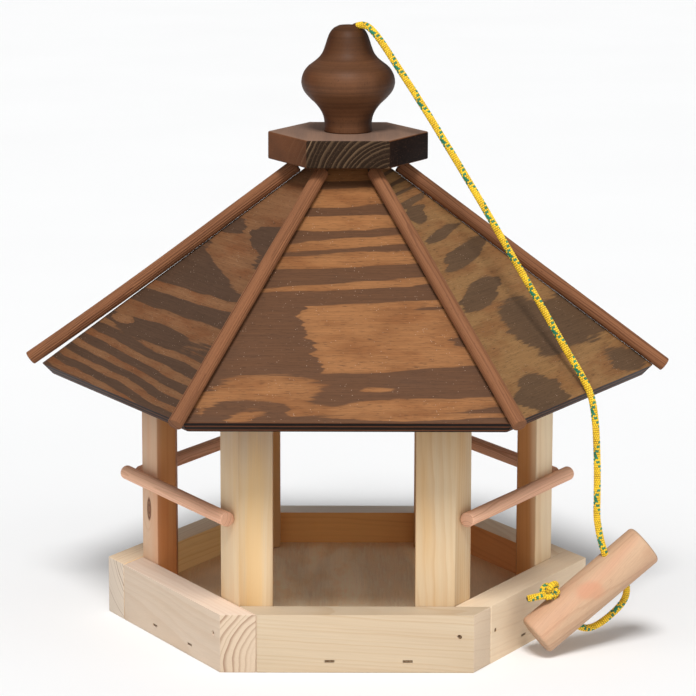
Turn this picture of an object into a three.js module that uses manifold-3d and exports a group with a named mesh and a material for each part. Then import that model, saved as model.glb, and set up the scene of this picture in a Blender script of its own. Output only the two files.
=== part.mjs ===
// Hexagonal hanging bird feeder: an open tray on six sides, six posts, a stained
// plywood roof with round battens on its hips, a turned finial, and a braided rope
// that hangs over one eave with a two-hole wooden toggle on its end.
//
// Millimetres, +Z up. The origin is the centre of the tray's underside, which is the
// surface the feeder stands on. The corners of every hexagon lie at 0, 60, 120, 180,
// 240 and 300 degrees from +X, so one flat side faces the front, which is -Y.

import * as THREE from 'three';
import { mergeVertices } from 'three/addons/utils/BufferGeometryUtils.js';
import Module from 'manifold-3d';

const wasm = await Module();
wasm.setup();

// ---------------------------------------------------------------- driving dimensions

const GAP = 0.3; // air between two pieces that touch

// tray frame: six boards in a pinwheel of butt joints
const BASE_CORNER_RADIUS = 168.8;
const BOARD_HEIGHT = 40;
const BOARD_THICKNESS = 21;

// floor panel inside the frame
const FLOOR_UNDERSIDE = 1;
const FLOOR_THICKNESS = 16;

// posts in the inner corners of the frame
const POST_RIGHT_FACET = 22.5; // seen from outside the corner
const POST_LEFT_FACETS = { // sawn less evenly than the right ones
  right: 24.5,
  back_right: 24.5,
  back_left: 22.5,
  left: 22.5,
  front_left: 26.5,
  front_right: 26.5,
};
const POST_DEPTH = 15;

// perches across the four oblique openings
const PERCH_RADIUS = 5;
const PERCH_LENGTH = 152.5;
const PERCH_HEIGHT = 99;
const PERCH_SHIFT = 10; // how far the perch is moved along its side

// roof
const EAVE_CORNER_RADIUS = 213.3;
const EAVE_HEIGHT = 179.5;
const ROOF_SLOPE = THREE.MathUtils.degToRad(41);
const PLY_THICKNESS = 10;
const ROOF_HOLE_APOTHEM = 14;
const HIP_DOWEL_RADIUS = 5;
const HIP_DOWEL_TIP_RADIUS = 221.5; // how far out the batten's axis ends
const BOWED_DOWEL_LIFT = THREE.MathUtils.degToRad(1.2); // the left batten stands off its eave

// cap block and finial
const CAP_UNDERSIDE = 324;
const CAP_THICKNESS = 19.2;
const CAP_CORNER_RADIUS = 55.4;
const TENON_RADIUS = 7;
const TENON_LENGTH = 12;
const ROPE_BORE_RADIUS = 3.3;
const FINIAL_STEPS = 26; // along its outline
const FINIAL_SIDES = 36;

// rope
const ROPE_RADIUS = 2.5;
const ROPE_SIDES = 10;
const ROPE_STEPS = 79;
const ROPE_CLEARANCE = 0.4; // between the rope and the groove worn in the finial
const DRAPE_AZIMUTH = THREE.MathUtils.degToRad(330); // towards the middle of one eave
const STOP_KNOT_RADIUS = 8.5;
const KNOT_FLATTENING = 0.8;
const END_KNOT_RADIUS = 6.12;
const END_KNOT_THROUGH = -20.8; // its centre, past the mouth of the toggle's lower hole
const TAIL_REACH = new THREE.Vector3(-16.5, -3, -5);

// toggle
const TOGGLE_RADIUS = 14;
const TOGGLE_LENGTH = 98;
const TOGGLE_END_ROUNDING = 3;
const TOGGLE_HOLE_RADIUS = 3.7;
const TOGGLE_HOLE_SPACING = 44;
const TOGGLE_CENTRE = new THREE.Vector3(165, -98, 44);
const TOGGLE_RISE = THREE.MathUtils.degToRad(38.6);
const TOGGLE_SWING = THREE.MathUtils.degToRad(12);
const TOGGLE_ROLL = THREE.MathUtils.degToRad(21);
const TOGGLE_HOLE_EASING = 3; // how much wider each hole is at its mouth

// fasteners
const BRAD_RADIUS = 0.7;
const BRAD_HEAD_RADIUS = 1.3;
const BRAD_HEAD_THICKNESS = 0.8;
const BRAD_SUNK = 0.3;
const BRAD_SIDES = 10;
const CORNER_BRAD_LENGTH = 31;
const CORNER_BRAD_DEPTH = 8.4; // from the outer face of the board it enters
const CORNER_BRAD_HEIGHT = 25;
const CORNER_BRAD_MOUTH = 3; // how far its hole runs out past the head
const POST_BRAD_LENGTH = 31;
const POST_BRAD_OFFSET = 31; // from the tray's outer corner
const POST_BRAD_HEIGHT = 22;
const POST_BRAD_FROM_OUTSIDE = 'front_right'; // the others are driven from inside the tray
const STAPLE_WIRE = 1.2;
const STAPLE_CROWN = 6;
const STAPLE_LEG = 32;
const STAPLE_HEIGHT = 8;
const STAPLE_OFFSETS = [-11.5, 40.5]; // along the side, from its middle

// ---------------------------------------------------------------- derived dimensions

const COS30 = Math.cos(Math.PI / 6);
const TAN30 = Math.tan(Math.PI / 6);
const BASE_APOTHEM = BASE_CORNER_RADIUS * COS30;
const INNER_APOTHEM = BASE_APOTHEM - BOARD_THICKNESS;
const FLOOR_TOP = FLOOR_UNDERSIDE + FLOOR_THICKNESS;
const POST_FACE_APOTHEM = INNER_APOTHEM - GAP;
const EAVE_APOTHEM = EAVE_CORNER_RADIUS * COS30;
const ROOF_RISE = Math.tan(ROOF_SLOPE); // height gained per millimetre towards the axis
const PLY_DROP = PLY_THICKNESS / Math.cos(ROOF_SLOPE); // the panel's thickness, measured upright
const HIP_SLOPE = Math.atan(ROOF_RISE * COS30);
const CAP_TOP = CAP_UNDERSIDE + CAP_THICKNESS;
const ROOF_TOP = CAP_UNDERSIDE - GAP;

// Sides are named by where they face, corners by where they stand.
const SIDES = [
  { name: 'front', facing: 270 },
  { name: 'front_right', facing: 330 },
  { name: 'back_right', facing: 30 },
  { name: 'back', facing: 90 },
  { name: 'back_left', facing: 150 },
  { name: 'front_left', facing: 210 },
];
const CORNERS = [
  { name: 'right', bearing: 0 },
  { name: 'back_right', bearing: 60 },
  { name: 'back_left', bearing: 120 },
  { name: 'left', bearing: 180 },
  { name: 'front_left', bearing: 240 },
  { name: 'front_right', bearing: 300 },
];

const radians = THREE.MathUtils.degToRad;

// ---------------------------------------------------------------- materials

function material(color, roughness, metalness = 0) {
  return new THREE.MeshStandardMaterial({ color, roughness, metalness });
}

const SPRUCE = material(0xe3c9a3, 0.6);
const FLOOR_PLY = material(0xb08d68, 0.65);
const BEECH = material(0xc99678, 0.55);
const STAINED_PLY = material(0x85583c, 0.7);
const STAINED_BEECH = material(0x7a4e39, 0.65);
const DARK_STAIN = material(0x4b342a, 0.6);
const PINE = material(0xe0ae8a, 0.6);
const ROPE_YELLOW = material(0xe8be22, 0.6);
const STEEL = material(0x9a9a9a, 0.35, 1);

// ---------------------------------------------------------------- solids

// A closed three.js geometry as a solid that can be joined and cut.
function toSolid(geometry) {
  const bare = geometry.index ? geometry.toNonIndexed() : geometry.clone();
  bare.deleteAttribute('normal');
  bare.deleteAttribute('uv');
  const merged = mergeVertices(bare, 1e-4);
  const mesh = new wasm.Mesh({
    numProp: 3,
    vertProperties: new Float32Array(merged.attributes.position.array),
    triVerts: new Uint32Array(merged.index.array),
  });
  return new wasm.Manifold(mesh);
}

function toGeometry(solid) {
  const mesh = solid.getMesh();
  const geometry = new THREE.BufferGeometry();
  geometry.setAttribute('position', new THREE.BufferAttribute(mesh.vertProperties, 3));
  geometry.setIndex(new THREE.BufferAttribute(mesh.triVerts, 1));
  geometry.computeVertexNormals();
  return geometry;
}

function cut(geometry, tools) {
  let solid = toSolid(geometry);
  for (const tool of tools) {
    solid = solid.subtract(toSolid(tool));
  }
  return toGeometry(solid);
}

// An upright prism on a plan outline.
function prism(outline, bottom, top) {
  const shape = new THREE.Shape(outline.map(([x, y]) => new THREE.Vector2(x, y)));
  const geometry = new THREE.ExtrudeGeometry(shape, { depth: top - bottom, bevelEnabled: false });
  return geometry.translate(0, 0, bottom);
}

function hexagon(cornerRadius) {
  return CORNERS.map(({ bearing }) => {
    const angle = radians(bearing);
    return [cornerRadius * Math.cos(angle), cornerRadius * Math.sin(angle)];
  });
}

// One sixth of a hexagonal ring, facing +X: the radial section [apothem, height] is
// stretched sideways until it meets the two mitre planes, less a gap on each.
function mitredSection(section, mitreGap) {
  const shape = new THREE.Shape(section.map(([x, y]) => new THREE.Vector2(x, y)));
  const geometry = new THREE.ExtrudeGeometry(shape, { depth: 1, bevelEnabled: false });
  const position = geometry.attributes.position;
  for (let i = 0; i < position.count; i += 1) {
    const apothem = position.getX(i);
    const height = position.getY(i);
    const side = position.getZ(i) < 0.5 ? 1 : -1;
    position.setXYZ(i, apothem, side * (apothem * TAN30 - mitreGap), height);
  }
  return geometry;
}

// A round rod from one point to another.
function rod(from, to, radius, sides) {
  const axis = to.clone().sub(from);
  const geometry = new THREE.CylinderGeometry(radius, radius, axis.length(), sides);
  const turn = new THREE.Quaternion().setFromUnitVectors(new THREE.Vector3(0, 1, 0), axis.normalize());
  const middle = from.clone().add(to).multiplyScalar(0.5);
  return geometry.applyQuaternion(turn).translate(middle.x, middle.y, middle.z);
}

function box(low, high) {
  const size = high.map((value, i) => value - low[i]);
  const middle = high.map((value, i) => (value + low[i]) / 2);
  return new THREE.BoxGeometry(...size).translate(...middle);
}

// A turned shape about +Z from [radius, height] points. The profile starts and ends on
// the axis, or closes on itself around a bore.
function turned(profile, sides) {
  const points = profile.map(([radius, height]) => new THREE.Vector2(radius, height));
  const geometry = new THREE.LatheGeometry(points, sides);
  return geometry.rotateX(Math.PI / 2);
}

// ---------------------------------------------------------------- scene graph

const feeder = new THREE.Group();

function add(name, geometry, finish, turnDegrees = 0) {
  const mesh = new THREE.Mesh(geometry, finish);
  mesh.name = name;
  mesh.rotation.z = radians(turnDegrees);
  feeder.add(mesh);
  return mesh;
}

// ---------------------------------------------------------------- fasteners

// Everything on one side is worked out on a side that faces -Y, where +X is the
// viewer's right, and then turned to where that side faces.
const turnOf = (side) => side.facing - 270;

// A brad along +X with its head at the origin.
function bradGeometry(length, clearance) {
  const head = BRAD_HEAD_RADIUS + clearance;
  const shank = BRAD_RADIUS + clearance;
  const neck = BRAD_HEAD_THICKNESS + clearance;
  const tip = length + clearance;
  const profile = [[0, 0], [head, 0], [head, neck], [shank, neck], [shank, tip], [0, tip]];
  return turned(profile, BRAD_SIDES).rotateY(Math.PI / 2);
}

// The corner brad runs along the middle of the board that butts, through its neighbour.
const cornerBradCrossing = BASE_CORNER_RADIUS / 2 + CORNER_BRAD_DEPTH * TAN30; // with the neighbour's face
const cornerBradStart = BRAD_HEAD_RADIUS * TAN30 + BRAD_SUNK - cornerBradCrossing;

function cornerBrad() {
  const brad = bradGeometry(CORNER_BRAD_LENGTH, 0);
  return brad.translate(cornerBradStart, CORNER_BRAD_DEPTH - BASE_APOTHEM, CORNER_BRAD_HEIGHT);
}

// A brad's hole, with a straight mouth that lets its head in.
function bradHole(length, mouth) {
  const start = new THREE.Vector3(-mouth, 0, 0);
  const end = new THREE.Vector3(BRAD_HEAD_THICKNESS / 2, 0, 0);
  return [bradGeometry(length, GAP), rod(start, end, BRAD_HEAD_RADIUS + GAP, BRAD_SIDES)];
}

function cornerBradHole() {
  const place = [cornerBradStart, CORNER_BRAD_DEPTH - BASE_APOTHEM, CORNER_BRAD_HEIGHT];
  return bradHole(CORNER_BRAD_LENGTH, CORNER_BRAD_MOUTH).map((tool) => tool.translate(...place));
}

// The post brad crosses the board and the post's foot, square to the board's face.
const postBradAcross = POST_BRAD_OFFSET - BASE_CORNER_RADIUS / 2;
const postEdgeAcross = POST_RIGHT_FACET - POST_FACE_APOTHEM * TAN30;
const postInnerFace = POST_FACE_APOTHEM - POST_DEPTH - (postEdgeAcross - postBradAcross) * TAN30;

function placedPostBrad(tool, side) {
  if (side.name === POST_BRAD_FROM_OUTSIDE) {
    return tool.rotateZ(Math.PI / 2).translate(postBradAcross, BRAD_SUNK - BASE_APOTHEM, POST_BRAD_HEIGHT);
  }
  const start = -(postInnerFace + BRAD_HEAD_RADIUS * TAN30 + BRAD_SUNK);
  return tool.rotateZ(-Math.PI / 2).translate(postBradAcross, start, POST_BRAD_HEIGHT);
}

const postBrad = (side) => placedPostBrad(bradGeometry(POST_BRAD_LENGTH, 0), side);
const postBradHole = (side) => bradHole(POST_BRAD_LENGTH, CORNER_BRAD_MOUTH)
  .map((tool) => placedPostBrad(tool, side));

// A staple with its crown level with the board's face and its legs in the floor panel.
function staple(offset, clearance) {
  const half = STAPLE_CROWN / 2 + clearance;
  const wire = STAPLE_WIRE + 2 * clearance;
  const face = -(BASE_APOTHEM - BRAD_SUNK) - (clearance > 0 ? 2 : 0);
  const back = -(BASE_APOTHEM - BRAD_SUNK) + STAPLE_WIRE + clearance;
  const tip = -(BASE_APOTHEM - BRAD_SUNK) + STAPLE_LEG + clearance;
  const outline = [
    [-half, face], [half, face], [half, tip], [half - wire, tip],
    [half - wire, back], [-half + wire, back], [-half + wire, tip], [-half, tip],
  ].map(([x, y]) => [x + offset, y]);
  return prism(outline, STAPLE_HEIGHT - wire / 2, STAPLE_HEIGHT + wire / 2);
}

const turnedCopy = (geometry, degrees) => geometry.clone().rotateZ(radians(degrees));

SIDES.forEach((side) => {
  const turn = turnOf(side);
  add(`corner_brad_${side.name}`, cornerBrad(), STEEL, turn);
  add(`post_brad_${side.name}`, postBrad(side), STEEL, turn);
  STAPLE_OFFSETS.forEach((offset, i) => {
    add(`floor_staple_${side.name}_${i + 1}`, staple(offset, 0), STEEL, turn);
  });
});

// ---------------------------------------------------------------- tray

// Seen from above: the left end butts against the neighbour's inner face, and the right
// end runs out to the plane of the other neighbour's outer face.
function boardOutline() {
  const half = BASE_CORNER_RADIUS / 2;
  const flare = BOARD_THICKNESS * TAN30;
  const buttShift = BOARD_THICKNESS / COS30 + GAP;
  return [
    [-half + buttShift, -BASE_APOTHEM],
    [half, -BASE_APOTHEM],
    [half + flare, -INNER_APOTHEM],
    [-half - flare + buttShift, -INNER_APOTHEM],
  ];
}

SIDES.forEach((side) => {
  // the corner brads that cross this board: its own, and its right-hand neighbour's
  const neighbourBrad = cornerBradHole().map((tool) => turnedCopy(tool, 60));
  const staples = STAPLE_OFFSETS.map((offset) => staple(offset, GAP));
  const holes = [...cornerBradHole(), ...neighbourBrad, ...postBradHole(side), ...staples];
  add(`base_board_${side.name}`, cut(prism(boardOutline(), 0, BOARD_HEIGHT), holes), SPRUCE, turnOf(side));
});

const stapleHolesOf = (side) => STAPLE_OFFSETS.map((offset) => turnedCopy(staple(offset, GAP), turnOf(side)));
const allStapleHoles = SIDES.flatMap(stapleHolesOf);
const floorOutline = hexagon((INNER_APOTHEM - GAP) / COS30);
add('floor_panel', cut(prism(floorOutline, FLOOR_UNDERSIDE, FLOOR_TOP), allStapleHoles), FLOOR_PLY);

// ---------------------------------------------------------------- roof panels

const roofHeightAt = (apothem) => EAVE_HEIGHT + (EAVE_APOTHEM - apothem) * ROOF_RISE;

// Square-cut eave, level cut under the cap, and an upright cut around the rope's knot.
const panelSection = [
  [EAVE_APOTHEM, EAVE_HEIGHT],
  [EAVE_APOTHEM - (ROOF_TOP - EAVE_HEIGHT) / ROOF_RISE, ROOF_TOP],
  [ROOF_HOLE_APOTHEM, ROOF_TOP],
  [ROOF_HOLE_APOTHEM, roofHeightAt(ROOF_HOLE_APOTHEM) - PLY_DROP],
  [EAVE_APOTHEM - PLY_THICKNESS * Math.sin(ROOF_SLOPE), EAVE_HEIGHT - PLY_THICKNESS * Math.cos(ROOF_SLOPE)],
];

SIDES.forEach((side) => {
  add(`roof_panel_${side.name}`, mitredSection(panelSection, GAP / 2), STAINED_PLY, side.facing);
});

// ---------------------------------------------------------------- posts

// Plan of a post whose corner points along +X: two facets at 120 degrees against the
// frame boards, two square end faces, and a flat face towards the inside.
function postOutline(leftFacet) {
  const corner = new THREE.Vector2(POST_FACE_APOTHEM / COS30, 0);
  const middle = new THREE.Vector2();
  const step = (length, degrees) => new THREE.Vector2(length, 0).rotateAround(middle, radians(degrees));
  const leftEdge = corner.clone().add(step(leftFacet, -120));
  const leftInner = leftEdge.clone().add(step(POST_DEPTH, 150));
  const rightEdge = corner.clone().add(step(POST_RIGHT_FACET, 120));
  const rightInner = rightEdge.clone().add(step(POST_DEPTH, -150));
  return [corner, rightEdge, rightInner, leftInner, leftEdge].map((point) => [point.x, point.y]);
}

// Everything above the underside of one roof panel, with a little overlap on the hips.
function aboveUnderside() {
  const under = (apothem) => [apothem, roofHeightAt(apothem) - PLY_DROP - GAP];
  const [inner, outer] = [40, EAVE_APOTHEM];
  const section = [under(outer), [outer, CAP_TOP], [inner, CAP_TOP], under(inner)];
  return mitredSection(section, -0.05);
}

CORNERS.forEach((corner) => {
  const roofOnEachSide = [-30, 30].map((degrees) => turnedCopy(aboveUnderside(), degrees));
  const sideOnItsRight = SIDES.find((side) => side.facing === (corner.bearing + 30) % 360);
  const hole = postBradHole(sideOnItsRight).map((tool) => turnedCopy(tool, 120));
  const blank = prism(postOutline(POST_LEFT_FACETS[corner.name]), FLOOR_TOP + GAP, CAP_UNDERSIDE);
  add(`corner_post_${corner.name}`, cut(blank, [...roofOnEachSide, ...hole]), SPRUCE, corner.bearing);
});

// ---------------------------------------------------------------- perches

// A perch lies along +X on a side that faces -Y; the shift moves it towards its free end.
function perch(shift) {
  const apothem = POST_FACE_APOTHEM + GAP + PERCH_RADIUS;
  const from = new THREE.Vector3(shift - PERCH_LENGTH / 2, -apothem, PERCH_HEIGHT);
  const to = new THREE.Vector3(shift + PERCH_LENGTH / 2, -apothem, PERCH_HEIGHT);
  return rod(from, to, PERCH_RADIUS, 24);
}

const PERCHES = {
  front_right: PERCH_SHIFT,
  back_right: PERCH_SHIFT,
  back_left: -PERCH_SHIFT,
  front_left: -PERCH_SHIFT,
};
for (const side of SIDES.filter(({ name }) => name in PERCHES)) {
  add(`perch_${side.name}`, perch(PERCHES[side.name]), BEECH, turnOf(side));
}

// ---------------------------------------------------------------- hip battens

// The batten's axis runs parallel to the hip, above it by its own radius and the gap.
function hipDowel(lift) {
  const slope = HIP_SLOPE - lift;
  const rise = (HIP_DOWEL_RADIUS + GAP) / Math.cos(HIP_SLOPE);
  const hipHeightAt = (radius) => EAVE_HEIGHT + (EAVE_CORNER_RADIUS - radius) * Math.tan(HIP_SLOPE);
  const run = HIP_DOWEL_TIP_RADIUS - 10;
  const topHeight = hipHeightAt(10) + rise;
  const top = new THREE.Vector3(10, 0, topHeight);
  const tip = new THREE.Vector3(HIP_DOWEL_TIP_RADIUS, 0, topHeight - run * Math.tan(slope));
  const blank = rod(top, tip, HIP_DOWEL_RADIUS, 24);
  const underCap = box([0, -20, ROOF_TOP], [80, 20, ROOF_TOP + 40]);
  return cut(blank, [underCap]);
}

CORNERS.forEach((corner) => {
  const lift = corner.name === 'left' ? BOWED_DOWEL_LIFT : 0;
  add(`hip_dowel_${corner.name}`, hipDowel(lift), STAINED_BEECH, corner.bearing);
});

// ---------------------------------------------------------------- rope route

// Toggle frame: along runs up its length, through runs down its rope holes.
const toggleAlong = new THREE.Vector3(
  Math.cos(TOGGLE_RISE) * Math.cos(TOGGLE_SWING),
  Math.sin(TOGGLE_SWING),
  Math.sin(TOGGLE_RISE) * Math.cos(TOGGLE_SWING),
);
const toggleThrough = new THREE.Vector3(Math.sin(TOGGLE_RISE), 0, -Math.cos(TOGGLE_RISE))
  .applyAxisAngle(toggleAlong, TOGGLE_ROLL);
toggleThrough.addScaledVector(toggleAlong, -toggleThrough.dot(toggleAlong)).normalize();

const onToggle = ([along, through]) => TOGGLE_CENTRE.clone()
  .addScaledVector(toggleAlong, along)
  .addScaledVector(toggleThrough, through);

// Out of the finial, over its shoulder, down above the roof to the eave, and straight
// down from there: [distance from the axis, height] in the upright plane of the drape.
const drapeRoute = [
  [0, 397], [0, 401.5], [0.1, 405.6], [0.9, 409.7], [2.9, 413], [5.9, 415.4], [9.6, 416.7],
  [13.4, 416.6], [16.9, 415.1], [21, 411.7], [27.9, 403.9], [36.3, 393.2], [57.1, 366.4],
  [80.1, 335.2], [103.8, 302.2], [128.3, 266.8], [151, 234.4], [170, 206.6], [181.4, 190.6],
  [188.4, 178], [191.8, 162], [193.5, 142], [194.2, 124], [194.4, 108], [194.9, 92],
];

// Down through the upper hole, round the loop, and back through the lower hole:
// [along, through] in the toggle's frame.
const loopRoute = [
  [22, -13], [22, 0], [22, 11.5], [21.4, 16.2], [18.9, 20.8], [14.8, 24.2], [9, 26.1], [0, 26.8],
  [-9, 26.1], [-14.8, 24.2], [-18.9, 20.8], [-21.4, 16.2], [-22, 11.5], [-22, 0], [-22, -14.2],
];

const ropePoints = [
  ...drapeRoute.map(([radius, height]) => new THREE.Vector3(
    radius * Math.cos(DRAPE_AZIMUTH),
    radius * Math.sin(DRAPE_AZIMUTH),
    height,
  )),
  ...loopRoute.map(onToggle),
];
const ropeCurve = new THREE.CatmullRomCurve3(ropePoints, false, 'centripetal');

function ropeTube(radius) {
  const section = new THREE.Shape();
  for (let i = 0; i < ROPE_SIDES; i += 1) {
    const angle = (2 * Math.PI * i) / ROPE_SIDES;
    const place = [radius * Math.cos(angle), radius * Math.sin(angle)];
    if (i === 0) {
      section.moveTo(...place);
    } else {
      section.lineTo(...place);
    }
  }
  return new THREE.ExtrudeGeometry(section, { steps: ROPE_STEPS, extrudePath: ropeCurve });
}

add('hanging_rope', ropeTube(ROPE_RADIUS), ROPE_YELLOW);

// ---------------------------------------------------------------- finial and cap

// Turned outline from the shoulder on the cap to the crown, heights above the cap.
const finialOutline = [
  [16.7, GAP], [16.4, 6], [17, 10], [18.6, 14], [22.2, 19], [27, 23.7], [30.8, 28.6],
  [32.3, 34.2], [31, 40], [28.2, 44.3], [23.6, 48], [20.4, 50.8], [18, 54], [16.1, 58.6],
  [14.7, 63], [13, 67.4], [10.4, 70.8], [6.6, 72.9],
];

function finialGeometry() {
  const points = finialOutline.map(([radius, height]) => new THREE.Vector2(radius, height));
  const outside = new THREE.SplineCurve(points).getPoints(FINIAL_STEPS).map((point) => [point.x, point.y]);
  const crown = finialOutline[finialOutline.length - 1][1];
  const profile = [
    [TENON_RADIUS, GAP],
    ...outside,
    [ROPE_BORE_RADIUS, crown],
    [ROPE_BORE_RADIUS, -TENON_LENGTH],
    [TENON_RADIUS, -TENON_LENGTH],
    [TENON_RADIUS, GAP],
  ];
  const blank = turned(profile, FINIAL_SIDES).translate(0, 0, CAP_TOP);
  return cut(blank, [ropeTube(ROPE_RADIUS + ROPE_CLEARANCE)]);
}

add('finial', finialGeometry(), DARK_STAIN);

const capBlank = prism(hexagon(CAP_CORNER_RADIUS), CAP_UNDERSIDE, CAP_TOP);
const tenonFloor = CAP_TOP - TENON_LENGTH - GAP;
const onAxis = (height) => new THREE.Vector3(0, 0, height);
const capHoles = [
  rod(onAxis(tenonFloor), onAxis(CAP_TOP + 1), TENON_RADIUS + GAP, 32),
  rod(onAxis(CAP_UNDERSIDE - 1), onAxis(CAP_TOP), ROPE_BORE_RADIUS, 24),
];
add('cap_block', cut(capBlank, capHoles), DARK_STAIN);

// ---------------------------------------------------------------- rope ends

const ropeExit = drapeRoute[0][1];
const inBore = rod(onAxis(CAP_UNDERSIDE), onAxis(ropeExit - GAP), ROPE_RADIUS, ROPE_SIDES);
add('rope_in_bore', inBore, ROPE_YELLOW);

// The stopper knot bears on the cap's underside and carries the feeder.
const stopKnot = new THREE.SphereGeometry(STOP_KNOT_RADIUS, 20, 12)
  .rotateX(Math.PI / 2)
  .scale(1, 1, KNOT_FLATTENING)
  .translate(0, 0, CAP_UNDERSIDE - GAP - STOP_KNOT_RADIUS * KNOT_FLATTENING);
add('rope_stop_knot', stopKnot, ROPE_YELLOW);

// The end knot sits on the upper mouth of the toggle's lower hole, with a short tail.
function endKnot() {
  const centre = onToggle([-TOGGLE_HOLE_SPACING / 2, END_KNOT_THROUGH]);
  const ball = new THREE.SphereGeometry(END_KNOT_RADIUS, 20, 12).translate(...centre.toArray());
  const tail = rod(centre, centre.clone().add(TAIL_REACH), ROPE_RADIUS, ROPE_SIDES);
  return toGeometry(toSolid(ball).add(toSolid(tail)));
}

add('rope_end_knot', endKnot(), ROPE_YELLOW);

// ---------------------------------------------------------------- toggle

// Built upright along +Z with its rope holes along +X, then set in its hanging pose.
function toggleGeometry() {
  const half = TOGGLE_LENGTH / 2;
  const edge = TOGGLE_RADIUS - TOGGLE_END_ROUNDING;
  const arc = (centreHeight, fromDegrees) => [0, 22.5, 45, 67.5, 90].map((step) => {
    const angle = radians(fromDegrees + step);
    return [
      edge + TOGGLE_END_ROUNDING * Math.cos(angle),
      centreHeight + TOGGLE_END_ROUNDING * Math.sin(angle),
    ];
  });
  const profile = [
    [0, -half],
    ...arc(-half + TOGGLE_END_ROUNDING, -90),
    ...arc(half - TOGGLE_END_ROUNDING, 0),
    [0, half],
  ];
  const holes = [-1, 1].flatMap((end) => {
    const height = (end * TOGGLE_HOLE_SPACING) / 2;
    const reach = TOGGLE_RADIUS + 2;
    const through = new THREE.CylinderGeometry(TOGGLE_HOLE_RADIUS, TOGGLE_HOLE_RADIUS, 2 * reach, 24)
      .rotateZ(Math.PI / 2)
      .translate(0, 0, height);
    const eased = [-1, 1].map((mouth) => {
      const wide = TOGGLE_HOLE_RADIUS + TOGGLE_HOLE_EASING;
      const cone = new THREE.CylinderGeometry(wide, TOGGLE_HOLE_RADIUS, 2 * TOGGLE_HOLE_EASING, 24);
      return cone.rotateZ((-mouth * Math.PI) / 2).translate(mouth * (TOGGLE_RADIUS - 0.5), 0, height);
    });
    return [through, ...eased];
  });
  return cut(turned(profile, 32), holes);
}

const toggle = add('hanging_toggle', toggleGeometry(), PINE);
const toggleAcross = new THREE.Vector3().crossVectors(toggleAlong, toggleThrough);
const toggleFrame = new THREE.Matrix4().makeBasis(toggleThrough, toggleAcross, toggleAlong);
toggle.quaternion.setFromRotationMatrix(toggleFrame);
toggle.position.copy(TOGGLE_CENTRE);

export default feeder;
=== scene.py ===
import math
import random

import bpy
import numpy as np
from mathutils import Matrix, Quaternion, Vector


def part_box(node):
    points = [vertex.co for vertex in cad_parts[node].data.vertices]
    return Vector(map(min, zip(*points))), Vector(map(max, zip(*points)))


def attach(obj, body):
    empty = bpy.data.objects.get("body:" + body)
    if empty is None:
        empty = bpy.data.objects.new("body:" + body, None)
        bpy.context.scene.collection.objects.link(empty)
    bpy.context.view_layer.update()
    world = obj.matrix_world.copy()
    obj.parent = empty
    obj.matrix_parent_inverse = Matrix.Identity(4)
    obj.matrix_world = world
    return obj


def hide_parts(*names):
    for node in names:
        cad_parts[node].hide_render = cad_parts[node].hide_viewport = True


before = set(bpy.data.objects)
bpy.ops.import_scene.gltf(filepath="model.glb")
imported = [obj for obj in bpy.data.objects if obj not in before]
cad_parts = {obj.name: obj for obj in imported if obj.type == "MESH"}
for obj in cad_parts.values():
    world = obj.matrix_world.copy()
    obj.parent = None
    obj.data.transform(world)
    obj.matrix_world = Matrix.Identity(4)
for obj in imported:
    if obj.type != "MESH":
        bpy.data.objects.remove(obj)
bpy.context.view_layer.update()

# ------------------------------------------------------------------ shared dimensions
# Metres, +Z up. The origin is the middle of the tray's underside, the front is -Y, and
# the hexagons' corners lie at 0, 60, ... 300 degrees from +X.

MM = 0.001
COS30 = math.cos(math.pi / 6)

BASE_CORNER_RADIUS = 168.8 * MM
BOARD_THICKNESS = 21 * MM
EAVE_CORNER_RADIUS = 213.3 * MM
EAVE_HEIGHT = 179.5 * MM
ROOF_SLOPE = math.radians(41)
HIP_DOWEL_RADIUS = 5 * MM
HIP_DOWEL_TIP_RADIUS = 221.5 * MM
BOWED_DOWEL_LIFT = 3.4 * MM  # the left dowel has bowed off its hip towards the tip
PERCH_RADIUS = 5 * MM
PERCH_LENGTH = 152.5 * MM
PERCH_HEIGHT = 99 * MM
PERCH_SHIFTS = {"front_right": 10, "back_right": 10, "back_left": -10, "front_left": -10}
GAP = 0.3 * MM
ROPE_RADIUS = 2.5 * MM
ROPE_BORE_RADIUS = 3.3 * MM
TENON_RADIUS = 7 * MM
TENON_LENGTH = 12 * MM
TOGGLE_RADIUS = 14 * MM
TOGGLE_LENGTH = 98 * MM
TOGGLE_END_ROUNDING = 3 * MM
TOGGLE_HOLE_RADIUS = 3.7 * MM
TOGGLE_HOLE_SPACING = 44 * MM

BASE_APOTHEM = BASE_CORNER_RADIUS * COS30
EAVE_APOTHEM = EAVE_CORNER_RADIUS * COS30
HIP_SLOPE = math.atan(math.tan(ROOF_SLOPE) * COS30)
CAP_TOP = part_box("cap_block")[1].z
CAP_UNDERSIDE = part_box("cap_block")[0].z

SIDES = {"front": 270, "front_right": 330, "back_right": 30, "back": 90, "back_left": 150, "front_left": 210}
CORNERS = {"right": 0, "back_right": 60, "back_left": 120, "left": 180, "front_left": 240, "front_right": 300}



def heading(degrees):
    """The level unit vector that points `degrees` round from +X."""
    return Vector((math.cos(math.radians(degrees)), math.sin(math.radians(degrees)), 0.0))


# ------------------------------------------------------------------ camera


def make_camera():
    data = bpy.data.cameras.new("camera")
    data.sensor_width = 36
    data.lens = 168.9
    data.clip_end = 100
    camera = bpy.data.objects.new("camera", data)
    bpy.context.scene.collection.objects.link(camera)
    place = Matrix.Translation((0.0003, -2.2316, 0.6495))
    pitch = Matrix.Rotation(math.radians(90 - 11.616), 4, "X")
    roll = Matrix.Rotation(math.radians(0.14), 4, "Z")
    camera.matrix_world = place @ pitch @ roll
    bpy.context.scene.camera = camera


make_camera()

# ------------------------------------------------------------------ rope route

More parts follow.
